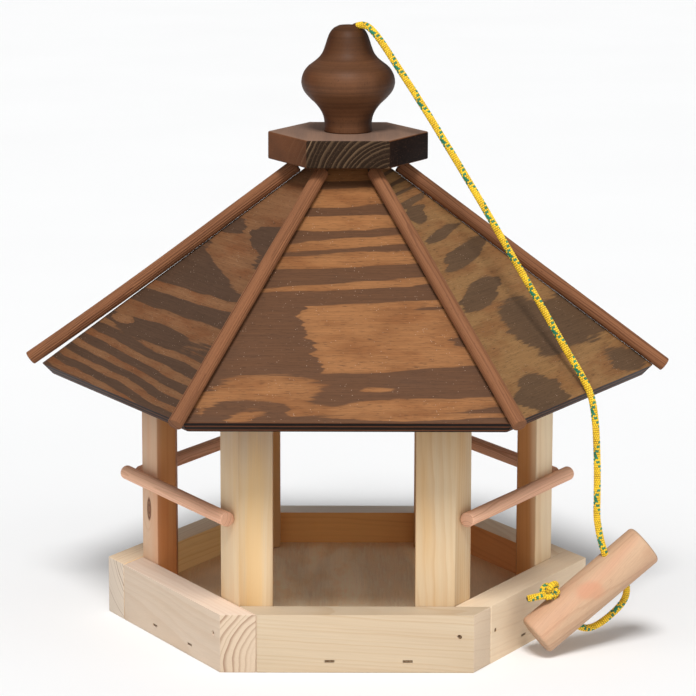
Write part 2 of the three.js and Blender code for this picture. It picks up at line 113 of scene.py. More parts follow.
DRAPE = heading(330)
TOGGLE_CENTRE = Vector((165, -98, 44)) * MM
TOGGLE_RISE = math.radians(38.6)
TOGGLE_SWING = math.radians(12)
TOGGLE_ROLL = math.radians(21)

# Toggle frame: along runs up its length, through runs down its rope holes.
ALONG = Vector((
    math.cos(TOGGLE_RISE) * math.cos(TOGGLE_SWING),
    math.sin(TOGGLE_SWING),
    math.sin(TOGGLE_RISE) * math.cos(TOGGLE_SWING),
))
level_through = Vector((math.sin(TOGGLE_RISE), 0.0, -math.cos(TOGGLE_RISE)))
level_through.rotate(Quaternion(ALONG, TOGGLE_ROLL))
THROUGH = (level_through - ALONG * level_through.dot(ALONG)).normalized()


def on_toggle(along, through):
    """A point in the toggle's frame, in millimetres from its middle."""
    return TOGGLE_CENTRE + ALONG * (along * MM) + THROUGH * (through * MM)


# [distance from the axis, height] in the upright plane of the drape
DRAPE_ROUTE = [
    (0, 397), (0, 401.5), (0.1, 405.6), (0.9, 409.7), (2.9, 413), (5.9, 415.4), (9.6, 416.7),
    (13.4, 416.6), (16.9, 415.1), (21, 411.7), (27.9, 403.9), (36.3, 393.2), (57.1, 366.4),
    (80.1, 335.2), (103.8, 302.2), (128.3, 266.8), (151, 234.4), (170, 206.6), (181.4, 190.6),
    (188.4, 178), (191.8, 162), (193.5, 142), (194.2, 124), (194.4, 108), (194.9, 92),
]

# [along, through] in the toggle's frame: down through its upper hole, round, and back up
LOOP_ROUTE = [
    (22, -13), (22, 0), (22, 11.5), (21.4, 16.2), (18.9, 20.8), (14.8, 24.2), (9, 26.1), (0, 26.8),
    (-9, 26.1), (-14.8, 24.2), (-18.9, 20.8), (-21.4, 16.2), (-22, 11.5), (-22, 0), (-22, -14.2),
]


def smooth_route(points, steps=24):
    """A centripetal Catmull-Rom curve through the points, as a dense polyline."""
    points = [np.array(p, float) for p in points]
    held = [2 * points[0] - points[1], *points, 2 * points[-1] - points[-2]]
    line = []
    for p0, p1, p2, p3 in zip(held, held[1:], held[2:], held[3:]):
        d0, d1, d2 = (np.linalg.norm(b - a) ** 0.5 for a, b in ((p0, p1), (p1, p2), (p2, p3)))
        start = ((p1 - p0) / d0 - (p2 - p0) / (d0 + d1) + (p2 - p1) / d1) * d1
        stop = ((p2 - p1) / d1 - (p3 - p1) / (d1 + d2) + (p3 - p2) / d2) * d1
        for t in np.arange(steps) / steps:
            line.append(p1 * (2 * t**3 - 3 * t**2 + 1) + start * (t**3 - 2 * t**2 + t)
                        + p2 * (3 * t**2 - 2 * t**3) + stop * (t**3 - t**2))
    return np.array([*line, points[-1]])


def evenly(line, step):
    """The polyline again with points about `step` apart, and its length."""
    reach = np.concatenate([[0.0], np.cumsum(np.linalg.norm(np.diff(line, axis=0), axis=1))])
    places = np.linspace(0.0, reach[-1], max(2, round(reach[-1] / step) + 1))
    return np.column_stack([np.interp(places, reach, line[:, i]) for i in range(3)]), reach[-1]


def rope_frames(path):
    """Unit tangents of a polyline, and two unit normals that don't twist along it."""
    tangents = np.gradient(path, axis=0)
    tangents /= np.linalg.norm(tangents, axis=1)[:, None]
    first = np.cross(tangents[0], (0.3, 0.8, 0.5))
    normal = first / np.linalg.norm(first)
    normals = []
    for tangent in tangents:
        normal = normal - tangent * normal.dot(tangent)
        normal = normal / np.linalg.norm(normal)
        normals.append(normal)
    normals = np.array(normals)
    return tangents, normals, np.cross(tangents, normals)


KNOT_SQUEEZE = 0.84  # the rope's share of its thickness where a knot grips it
KNOT_RING = 3.5 * MM  # the overhand knot's turns run round a ring of this radius
KNOT_TUBE = 2.15 * MM  # and this far from it


def overhand(centre, mouth, tail):
    """The turns of a tight overhand knot: a trefoil that opens where it faces `mouth`."""
    first = Vector(mouth).normalized()
    second = Vector(tail)
    second = (second - first * second.dot(first)).normalized()
    third = first.cross(second)
    turns = []
    for t in np.linspace(0.42, 2 * math.pi - 0.42, 60):
        out = KNOT_RING + KNOT_TUBE * math.cos(3 * t)
        turns.append(centre + first * (out * math.cos(2 * t)) + second * (out * math.sin(2 * t))
                     + third * (KNOT_TUBE * math.sin(3 * t)))
    return turns


def knotted(lead, centre, mouth, tail, away):
    """A knotted rope end: its lead, the knot, and a tail that runs `away` from the knot's middle."""
    turns = overhand(centre, mouth, tail)
    tip = centre + away
    leaving = turns[-1].lerp(tip, 0.25) + (turns[-1] - turns[-4]) * 0.5
    line, _ = evenly(smooth_route([*lead, *turns, leaving, turns[-1].lerp(tip, 0.65), tip], 8), 0.35 * MM)
    grip = np.clip(np.linalg.norm(line - np.array(centre), axis=1) / (8 * MM), 0, 1)
    return line, KNOT_SQUEEZE + (1 - KNOT_SQUEEZE) * grip**3


route = [DRAPE * (r * MM) + Vector((0, 0, z * MM)) for r, z in DRAPE_ROUTE]
route += [on_toggle(a, t) for a, t in LOOP_ROUTE]
rope_path, rope_length = evenly(smooth_route(route), 0.4 * MM)
END_KNOT = on_toggle(-22, -20.8)
END_TAIL = Vector((-16.5, -3, -5)) * MM
STOP_KNOT = Vector((0, 0, CAP_UNDERSIDE - 8.2 * MM))
STOP_TAIL = Vector((9, -6, -9)) * MM

# ------------------------------------------------------------------ meshes


def mesh_piece(name, vertices, faces, body, replaced=()):
    """A smooth-shaded mesh in the shared frame that rides on a body and stands for CAD nodes."""
    data = bpy.data.meshes.new(name)
    data.from_pydata([tuple(v) for v in vertices], [], [tuple(f) for f in faces])
    data.validate()
    data.shade_smooth()
    item = bpy.data.objects.new(name, data)
    bpy.context.scene.collection.objects.link(item)
    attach(item, body)
    if replaced:
        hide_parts(*replaced)
    return item


def skin(rings, start=0):
    """Quads between rings of vertex rows of the same size, with a fan-free cap at each end."""
    rows, sides = rings
    faces = []
    for row in range(rows - 1):
        for side in range(sides):
            a, b = row * sides + side, row * sides + (side + 1) % sides
            faces.append((start + a, start + b, start + b + sides, start + a + sides))
    faces.append(tuple(start + side for side in reversed(range(sides))))
    faces.append(tuple(start + (rows - 1) * sides + side for side in range(sides)))
    return faces


STRANDS_EACH_WAY = 10
BRAID_TURN = 30 * MM  # the rope's length in which one strand goes once round
STRAND_SIDES = 6
STRAND_WIDTH = 0.6 * MM  # half widths of one flattened strand
STRAND_THICKNESS = 0.55 * MM
WEAVE_DEPTH = 0.5 * MM
TRACERS = {(1, 0), (1, 1), (-1, 4), (-1, 5)}  # the green strands: way round, number
CHARRED_LENGTH = 1.2 * MM  # of a cut end, where a flame has sealed it
ROUNDED_LENGTH = 1.6 * MM


def braid(path, girth, cut=False):
    """A braided rope along a path: strands that go round it both ways, over one and under one.

    girth is the rope's thickness at each point, 1 where it is free. Returns vertices, faces, the
    material number of each face, and how far each vertex stands out of the weave, from 0 to 1.
    """
    tangents, normals, sides = rope_frames(path)
    reach = np.concatenate([[0.0], np.cumsum(np.linalg.norm(np.diff(path, axis=0), axis=1))])
    turn = reach * (2 * math.pi / BRAID_TURN)
    crossing = 2 * turn * STRANDS_EACH_WAY / (2 * math.pi)
    if cut:
        left = np.clip((reach[-1] - reach) / ROUNDED_LENGTH, 0, 1)
        girth = girth * np.sqrt(np.maximum(0.04, 1 - (1 - left) ** 2))
    middle = ROPE_RADIUS - STRAND_THICKNESS - WEAVE_DEPTH / 2
    vertices, faces, kinds, heights = [], [], [], []
    for way in (1, -1):
        for number in range(STRANDS_EACH_WAY):
            angle = way * turn + 2 * math.pi * number / STRANDS_EACH_WAY
            over = way * np.cos(math.pi * crossing)
            out = np.cos(angle)[:, None] * normals + np.sin(angle)[:, None] * sides
            centre = path + out * ((middle + over * WEAVE_DEPTH / 2) * girth)[:, None]
            along = np.gradient(centre, axis=0)
            along /= np.linalg.norm(along, axis=1)[:, None]
            flat = np.cross(along, out)
            flat /= np.linalg.norm(flat, axis=1)[:, None]
            start = len(vertices)
            for row in range(len(path)):
                for side in range(STRAND_SIDES):
                    a = 2 * math.pi * (side + 0.5) / STRAND_SIDES
                    vertices.append(centre[row] + flat[row] * (math.cos(a) * STRAND_WIDTH * girth[row])
                                    + out[row] * (math.sin(a) * STRAND_THICKNESS * girth[row]))
                    heights.append(0.5 + 0.25 * over[row] + 0.25 * math.sin(a))
            made = skin((len(path), STRAND_SIDES), start)
            faces += made
            kind = 1 if (way, number) in TRACERS else 0
            charred_rows = int(CHARRED_LENGTH / (reach[1] - reach[0])) if cut else 0
            charred = start + (len(path) - charred_rows) * STRAND_SIDES
            kinds += [2 if min(face) >= charred else kind for face in made]
    return vertices, faces, kinds, heights


# ------------------------------------------------------------------ shader building


def paint(red, green, blue):
    """A colour as seen on a screen, 0 to 255, in Blender's linear values."""

    def linear(value):
        share = value / 255
        return share / 12.92 if share <= 0.04045 else ((share + 0.055) / 1.055) ** 2.4

    return (linear(red), linear(green), linear(blue), 1.0)


class Finish:
    """A material's node tree, with a short call for each kind of node that the finishes use."""

    def __init__(self, name):
        self.material = bpy.data.materials.new(name)
        self.material.use_nodes = True
        self.tree = self.material.node_tree
        self.tree.nodes.clear()
        self.surface = self.node("ShaderNodeBsdfPrincipled")
        output = self.node("ShaderNodeOutputMaterial")
        self.tree.links.new(self.surface.outputs[0], output.inputs[0])

    def node(self, kind, **settings):
        made = self.tree.nodes.new(kind)
        for setting, value in settings.items():
            setattr(made, setting, value)
        return made

    def put(self, socket, value):
        if isinstance(value, bpy.types.NodeSocket):
            self.tree.links.new(value, socket)
        else:
            socket.default_value = value

    def math(self, operation, *values):
        made = self.node("ShaderNodeMath", operation=operation)
        for socket, value in zip(made.inputs, values):
            self.put(socket, value)
        return made.outputs[0]

    def plus(self, first, second):
        return self.math("ADD", first, second)

    def minus(self, first, second):
        return self.math("SUBTRACT", first, second)

    def times(self, first, second):
        return self.math("MULTIPLY", first, second)

    def total(self, values):
        result = values[0]
        for value in values[1:]:
            result = self.plus(result, value)
        return result

    def vector(self, operation, first, second):
        made = self.node("ShaderNodeVectorMath", operation=operation)
        self.put(made.inputs[0], first)
        self.put(made.inputs[1], second)
        return made.outputs[0]

    def at_rest(self):
        """The surface point in the shared frame, in the rest pose."""
        return self.node("ShaderNodeTexCoord").outputs["Object"]

    def place(self, to_local):
        """The surface point at rest, carried into a piece's own frame by a rigid matrix."""
        made = self.node("ShaderNodeMapping")
        self.put(made.inputs["Vector"], self.at_rest())
        made.inputs["Rotation"].default_value = to_local.to_euler("XYZ")
        made.inputs["Location"].default_value = to_local.to_translation()
        return made.outputs[0]

    def axes(self, point):
        made = self.node("ShaderNodeSeparateXYZ")
        self.put(made.inputs[0], point)
        return made.outputs

    def join(self, x, y, z):
        made = self.node("ShaderNodeCombineXYZ")
        for socket, value in zip(made.inputs, (x, y, z)):
            self.put(socket, value)
        return made.outputs[0]

    def noise(self, point, stretch, detail=3.0, roughness=0.5, offset=0.0):
        """Noise with its own frequency along each axis, in cycles per metre."""
        scaled = self.vector("MULTIPLY", point, stretch)
        moved = self.vector("ADD", scaled, (offset, offset * 1.7, offset * 0.6))
        made = self.node("ShaderNodeTexNoise")
        self.put(made.inputs["Vector"], moved)
        made.inputs["Scale"].default_value = 1.0
        made.inputs["Detail"].default_value = detail
        made.inputs["Roughness"].default_value = roughness
        return made.outputs[0]

    def centred(self, value, size):
        """A 0 to 1 value as plus or minus half of size."""
        return self.times(self.minus(value, 0.5), size)

    def rise(self, value, low, high):
        """0 below low, 1 above high, with a soft step between them."""
        made = self.node("ShaderNodeMapRange", interpolation_type="SMOOTHSTEP")
        self.put(made.inputs["Value"], value)
        made.inputs["From Min"].default_value = low
        made.inputs["From Max"].default_value = high
        return made.outputs[0]

    def fall(self, value, low, high):
        return self.minus(1.0, self.rise(value, low, high))

    def bump_at(self, point, centre, half_size, turn=0.0):
        """1 at centre and 0 at half_size away along each axis: the height of one soft mound."""
        made = self.node("ShaderNodeMapping", vector_type="TEXTURE")
        self.put(made.inputs["Vector"], point)
        made.inputs["Location"].default_value = centre
        made.inputs["Rotation"].default_value = (0.0, 0.0, turn)
        made.inputs["Scale"].default_value = half_size
        mound = self.node("ShaderNodeTexGradient", gradient_type="SPHERICAL")
        self.put(mound.inputs[0], made.outputs[0])
        return mound.outputs["Fac"]

    def mix(self, share, first, second):
        made = self.node("ShaderNodeMix", data_type="RGBA")
        self.put(made.inputs[0], share)
        self.put(made.inputs[6], first)
        self.put(made.inputs[7], second)
        return made.outputs[2]

    def shade(self, colour, amount):
        """The colour made lighter or darker by a grey factor."""
        made = self.node("ShaderNodeMix", data_type="RGBA", blend_type="MULTIPLY")
        made.inputs[0].default_value = 1.0
        self.put(made.inputs[6], colour)
        self.put(made.inputs[7], (amount, amount, amount, 1.0) if isinstance(amount, float) else amount)
        return made.outputs[2]

    def facing(self, direction):
        """How squarely the surface faces a direction, from -1 to 1."""
        made = self.node("ShaderNodeVectorMath", operation="DOT_PRODUCT")
        self.put(made.inputs[0], self.node("ShaderNodeTexCoord").outputs["Normal"])
        made.inputs[1].default_value = direction
        return made.outputs["Value"]

    def square_to(self, direction):
        """The same for both ways along the direction, from 0 to 1."""
        return self.math("ABSOLUTE", self.facing(direction))

    def varied(self, colour, value, size, middle=1.0):
        """The colour with its brightness spread over size, round the middle, by a 0 to 1 value."""
        return self.shade(colour, self.plus(middle - size / 2, self.times(value, size)))

    def tinted(self, colour, share, factor):
        """The colour multiplied by a red, green and blue factor where share is 1."""
        return self.mix(share, colour, self.shade(colour, (*factor, 1.0)))

    def finish(self, colour, roughness, height, depth, specular=0.3):
        self.surface.inputs["Specular IOR Level"].default_value = specular
        self.put(self.surface.inputs["Base Color"], colour)
        self.put(self.surface.inputs["Roughness"], roughness)
        bump = self.node("ShaderNodeBump")
        bump.inputs["Distance"].default_value = depth
        self.put(bump.inputs["Height"], height)
        self.put(self.surface.inputs["Normal"], bump.outputs[0])
        return self.material


# ------------------------------------------------------------------ wood

def grain_frame(to_local, pith, pitch=0.0, yaw=0.0):
    """A piece's frame moved so that +X runs along the pith of the tree it was cut from."""
    across, up = pith
    lean = Matrix.Rotation(math.radians(pitch), 4, "Y") @ Matrix.Rotation(math.radians(yaw), 4, "Z")
    return lean @ Matrix.Translation((0.0, -across * MM, -up * MM)) @ to_local


def solid_wood(name, to_grain, tones, ring, seed, knots=(), line=0.75, end_line=1.0, streak=0.2,
               wander=1.0, end_tones=None, patch=0.35, pores=0.0, turned=0.0, roughness=0.62, painted_shading=(),
               stains=(), crown=None, specular=0.3):
    """Sawn wood: growth rings round the pith, fibre streaks along it, and knots.

    tones are earlywood, latewood and a patch colour; ring is the growth ring's width in millimetres.
    line and end_line say how strongly the rings show along the grain and across it, wander how much
    they bend, and turned how much a lathe tool has marked them. The shading list holds (direction, low,
    high, factor): painted light and shade that make the faces looking one way lighter or darker, as light
    falls on them. crown (from, to, factor) multiplies the colour by a factor along the grain; on the posts
    it is painted shade under the eave. knots are (centre, half size) and stains (centre, half size, colour,
    share) in the shared frame, in millimetres.
    """
    early, late, patchy = tones
    made = Finish(name)
    point = made.place(to_grain)
    x, y, z = made.axes(point)
    sway = made.noise(point, (5.0, 22.0, 22.0), 2.0, offset=seed)
    ripple = made.noise(point, (38.0, 120.0, 120.0), 2.0, offset=seed + 3)
    from_pith = made.math("SQRT", made.plus(made.times(y, y), made.times(z, z)))
    bends = [from_pith, made.centred(sway, 9 * MM * wander), made.centred(ripple, 1.2 * MM)]
    knot_marks = []
    local = made.at_rest()
    for centre, size in knots:
        around = made.bump_at(local, [c * MM for c in centre], [s * 2.6 * MM for s in size])
        bends.append(made.times(around, 3.5 * ring * MM))
        heart = made.bump_at(local, [c * MM for c in centre], [s * 1.6 * MM for s in size])
        knot_marks.append(heart)
    counted = made.math("DIVIDE", made.total(bends), ring * MM)
    uneven = made.noise(made.join(counted, 0.0, 0.0), (0.8, 1.0, 1.0), 1.0, offset=seed + 7)
    counted = made.plus(counted, made.centred(uneven, 1.1))
    share = made.math("FRACT", counted)
    latewood = made.times(made.rise(share, 0.35, 0.9), made.fall(share, 0.93, 1.0))
    strength = made.noise(made.join(made.math("FLOOR", counted), seed, 0.0), (3.3, 1.0, 1.0), 0.0)
    latewood = made.times(latewood, made.rise(strength, 0.2, 0.75))
    end_grain = made.rise(made.square_to(to_grain.to_3x3().row[0]), 0.45, 0.75)
    sharper = made.math("POWER", latewood, 1.8)
    lines = made.mix(end_grain, made.times(latewood, line), made.times(sharper, end_line))

    fibre = made.noise(point, (26.0, 1500.0, 1500.0), 3.0, offset=seed + 11)
    broad = made.noise(point, (9.0, 60.0, 60.0), 2.0, offset=seed + 17)
    colour = made.mix(made.rise(broad, 0.35, 0.75), early, made.mix(patch, early, patchy))
    cut_early, cut_late = end_tones or (tuple(0.86 * c for c in early[:3]) + (1.0,), late)
    cut = made.mix(lines, cut_early, cut_late)
    colour = made.mix(end_grain, made.mix(lines, colour, late), cut)
    colour = made.varied(colour, fibre, streak)
    if turned:
        tool_line = made.noise(made.join(x, 0.0, 0.0), (520.0, 1.0, 1.0), 3.0, 0.6, seed + 37)
        colour = made.varied(colour, tool_line, turned)
    # Painted light and shade: faces made lighter or darker by which way they face.
    for direction, low, high, factor in painted_shading:
        colour = made.tinted(colour, made.rise(made.facing(direction), low, high), factor)
    # Multiplies the colour along the grain; on the posts this is painted shade, darker towards the top under
    # the eave.
    if crown:
        low, high, factor = crown
        colour = made.tinted(colour, made.rise(x, low, high), factor)
    for centre, size, stain, most in stains:
        ragged = made.total([made.bump_at(local, [c * MM for c in centre], [s * MM for s in size]),
                             made.centred(fibre, 0.5), made.centred(broad, 0.5)])
        colour = made.mix(made.times(made.rise(ragged, 0.1, 0.6), most), colour, stain)
    if pores:
        pits = made.noise(point, (260.0, 2400.0, 2400.0), 1.0, offset=seed + 23)
        speck = made.rise(pits, 0.66, 0.76)
        colour = made.mix(made.times(speck, pores), colour, late)
    for heart in knot_marks:
        rings = made.math("SINE", made.times(heart, 26.0))
        inside = made.mix(made.rise(rings, -0.6, 0.9), paint(150, 104, 70), paint(112, 70, 44))
        colour = made.mix(made.rise(heart, 0.34, 0.5), colour, inside)
    height = made.plus(made.times(fibre, 0.6), made.times(lines, 0.5))
    rough = made.plus(roughness, made.centred(fibre, 0.14))
    return made.finish(colour, rough, height, 0.12 * MM, specular)


def side_frame(facing, out=0.0, up=0.0):
    """Carries a side that faces `facing` degrees to one that faces -Y, with its plane at y = 0."""
    turn = Matrix.Rotation(math.radians(270 - facing), 4, "Z")
    return Matrix.Translation((0.0, out, -up)) @ turn


def roof_frame(facing):
    """On a roof panel: X along the eave, Y up the slope from the eave's top edge, Z out of the face."""
    level = side_frame(facing, EAVE_APOTHEM, EAVE_HEIGHT)
    return Matrix.Rotation(-ROOF_SLOPE, 4, "X") @ level


SPRUCE = (paint(193, 173, 146), paint(165, 127, 84), paint(188, 161, 130))
# A greyer, pinker copy of spruce for the left-facing board: painted cool light from the left.
SKYLIT_SPRUCE = (paint(207, 187, 166), paint(183, 149, 116), paint(203, 179, 153))
WARM_SPRUCE = (paint(224, 202, 173), paint(194, 155, 111), paint(216, 188, 155))
POST_SPRUCE = (paint(207, 182, 147), paint(190, 146, 99), paint(206, 166, 114))
PALE_SPRUCE = (paint(238, 214, 178), paint(214, 170, 122), paint(230, 194, 146))
PINK_SPRUCE = (paint(224, 190, 159), paint(197, 137, 99), paint(224, 168, 129))


# Each board's pith, ring width and lean differ, as boards cut from different trees do. Its inner face
# gets painted light and shade, set board by board, and the top factor is painted light on its upper edge.
BOARDS = {
    "front": dict(pith=(6, -52), ring=2.9, pitch=-4.0, yaw=1.0, seed=1.3, tones=SPRUCE, line=0.3,
                  end_line=0.3, end_tones=(paint(212, 190, 164), paint(184, 148, 112))),
    "front_left": dict(pith=(50, -2), ring=3.2, pitch=3.0, yaw=-3.0, seed=5.1, tones=SKYLIT_SPRUCE,
                       line=0.22, end_line=0.7, end_tones=(paint(203, 181, 156), paint(124, 80, 55)),
                       top=(1.25, 1.25, 1.3)),
    "front_right": dict(pith=(30, 62), ring=3.4, pitch=-3.0, yaw=2.0, seed=9.4, tones=WARM_SPRUCE, line=0.16),
    "back": dict(pith=(-20, 60), ring=3.0, pitch=2.0, yaw=1.0, seed=14.2, tones=WARM_SPRUCE, line=0.4,
                 inner_shading=(1.1, 0.72, 0.34), top=(1.25, 1.45, 1.8)),
    "back_left": dict(pith=(46, 60), ring=2.6, pitch=-1.5, yaw=-2.0, seed=19.7, tones=WARM_SPRUCE,
                      line=0.35, end_line=0.9, end_tones=(paint(206, 190, 172), paint(140, 112, 92)),
                      inner_shading=(1.3, 1.15, 0.75)),
    "back_right": dict(pith=(34, -10), ring=4.0, pitch=2.0, yaw=3.0, seed=25.5, tones=WARM_SPRUCE, line=0.35,
                       inner_shading=(1.1, 0.64, 0.33)),
}
INNER_SHADE = (0.86, 0.6, 0.38)  # painted shade: inner faces darker and warmer, as only light bounced off the wood reaches them


def sharp_by_angle():
    """Modifier nodes that keep edges sharper than 32 degrees crisp and shade the rest smooth."""
    group = bpy.data.node_groups.new("sharp_by_angle", "GeometryNodeTree")
    group.interface.new_socket("Geometry", in_out="INPUT", socket_type="NodeSocketGeometry")
    group.interface.new_socket("Geometry", in_out="OUTPUT", socket_type="NodeSocketGeometry")
    start = group.nodes.new("NodeGroupInput")
    stop = group.nodes.new("NodeGroupOutput")
    angle = group.nodes.new("GeometryNodeInputMeshEdgeAngle")
    steep = group.nodes.new("FunctionNodeCompare")
    steep.operation = "LESS_THAN"
    steep.inputs["B"].default_value = math.radians(32)
    faces = group.nodes.new("GeometryNodeSetShadeSmooth")
    edges = group.nodes.new("GeometryNodeSetShadeSmooth")
    edges.domain = "EDGE"
    link = group.links.new
    link(start.outputs[0], faces.inputs["Geometry"])
    link(faces.outputs[0], edges.inputs["Geometry"])
    link(angle.outputs["Unsigned Angle"], steep.inputs["A"])
    link(steep.outputs[0], edges.inputs["Shade Smooth"])
    link(edges.outputs[0], stop.inputs[0])
    return group


SHARP_BY_ANGLE = sharp_by_angle()


def ease(node, width, where=None, segments=3):
    """Rounds a CAD piece's long edges, at the corners that `where` picks. Its own mesh stays as it is."""
    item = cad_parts[node]
    if "custom_normal" in item.data.attributes:
        item.data.attributes.remove(item.data.attributes["custom_normal"])
    weld = item.modifiers.new("weld", "WELD")
    weld.merge_threshold = 0.005 * MM
    flat = item.modifiers.new("flat", "DECIMATE")
    flat.decimate_type = "DISSOLVE"
    flat.angle_limit = math.radians(0.5)
    bevel = item.modifiers.new("bevel", "BEVEL")
    bevel.width = width
    bevel.segments = segments
    bevel.use_clamp_overlap = False
    if where is None:
        bevel.limit_method = "ANGLE"
        bevel.angle_limit = math.radians(28)
    else:
        group = item.vertex_groups.new(name="eased")
        group.add([v.index for v in item.data.vertices if where(v.co)], 1.0, "REPLACE")
        bevel.limit_method = "VGROUP"
        bevel.vertex_group = group.name
    crisp = item.modifiers.new("crisp", "NODES")
    crisp.node_group = SHARP_BY_ANGLE
    return item


def dress(item, material):
    item.data.materials.clear()
    item.data.materials.append(material)
    return item


for side, facing in SIDES.items():
    facts = dict(BOARDS[side])
    lean = [facts.pop(key) for key in ("pith", "pitch", "yaw")]
    low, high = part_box(f"base_board_{side}")
    board = ease(f"base_board_{side}", 0.8 * MM, lambda p: min(p.z - low.z, high.z - p.z) < 0.01 * MM)
    grain = grain_frame(side_frame(facing, BASE_APOTHEM), *lean)
    # Painted shade on the inner face, and painted light on the upper edge.
    painted_shading = [(-heading(facing), 0.5, 0.8, facts.pop("inner_shading", INNER_SHADE)),
             (Vector((0, 0, 1)), 0.7, 0.9, facts.pop("top", (1.0, 1.0, 1.0)))]
    dress(board, solid_wood(f"spruce_board_{side}", grain, streak=0.16, painted_shading=painted_shading, **facts))

LEFT_POST_KNOT = (-139, -9, 77)
# Painted shade on the posts' faces towards the middle.
INNER_POST_SHADE = (0.95, 0.72, 0.5)
# Posts: growth-ring width, how strongly the lines show, and what differs from post to post. The face
# towards the middle gets painted shade, the left one of the two faces that look out gets painted light,
# and crown is painted shade from the eave over the posts' tops.
POSTS = {
    "front_left": dict(ring=6.5, line=0.3, seed=41.0, outer=(1.2, 1.26, 1.36),
                       stains=[((-62, -127, 80), (9, 30, 120), paint(220, 178, 116), 0.45)],
                       crown=(115 * MM, 170 * MM, (0.76, 0.75, 0.84))),
    "front_right": dict(ring=1.9, line=0.5, seed=47.0, crown=(115 * MM, 170 * MM, (0.88, 0.84, 0.78))),
    "left": dict(ring=5.0, line=0.25, seed=53.0, tones=PINK_SPRUCE, inner_shading=(0.7, 0.46, 0.24),
                 knots=[(LEFT_POST_KNOT, (3.5, 3.5, 9))], crown=(115 * MM, 165 * MM, (0.7, 0.7, 0.7)),
                 stains=[((-126, 4, 50), (14, 12, 26), paint(84, 46, 24), 0.6)]),
    "right": dict(ring=3.0, line=0.3, seed=59.0, tones=PALE_SPRUCE, inner_shading=(0.62, 0.35, 0.17)),
    "back_left": dict(ring=2.6, line=0.4, seed=66.0),
    "back_right": dict(ring=3.4, line=0.4, seed=72.0),
}
for corner, bearing in CORNERS.items():
    facts = {"tones": POST_SPRUCE, **POSTS[corner]}
    # Painted shade on the face towards the middle, painted light on the left one of the two faces that look
    # out.
    painted_shading = [(-heading(bearing), 0.3, 0.45, facts.pop("inner_shading", INNER_POST_SHADE)),
             (heading(bearing - 30), 0.9, 0.97, facts.pop("outer", (1.0, 1.0, 1.0)))]
    upright = Matrix.Rotation(math.radians(90), 4, "Y") @ Matrix.Rotation(math.radians(-bearing), 4, "Z")
    pith = (30 + 8 * math.sin(facts["seed"]), 100 + 15 * math.cos(facts["seed"]))
    low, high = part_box(f"corner_post_{corner}")
    post = ease(f"corner_post_{corner}", 0.7 * MM, lambda p: p.z < low.z + 0.01 * MM or p.z > EAVE_HEIGHT)
    grain = grain_frame(upright, pith, 0.6, -0.8)
    dress(post, solid_wood(f"spruce_post_{corner}", grain, wander=0.25, streak=0.14, patch=0.8, painted_shading=painted_shading,
                           **facts))

# ------------------------------------------------------------------ plywood


def speckle(made, colour, point, density, size):
    """Fine pale dust on a stained face: `density` grains to the metre, in clouds."""
    cells = made.node("ShaderNodeTexVoronoi")
    made.put(cells.inputs["Vector"], point)
    cells.inputs["Scale"].default_value = density
    near = made.fall(cells.outputs["Distance"], size * 0.5, size)
    some = made.rise(made.noise(point, (60.0, 60.0, 60.0), 2.0), 0.42, 0.6)
    return made.mix(made.times(near, some), colour, paint(186, 158, 136))


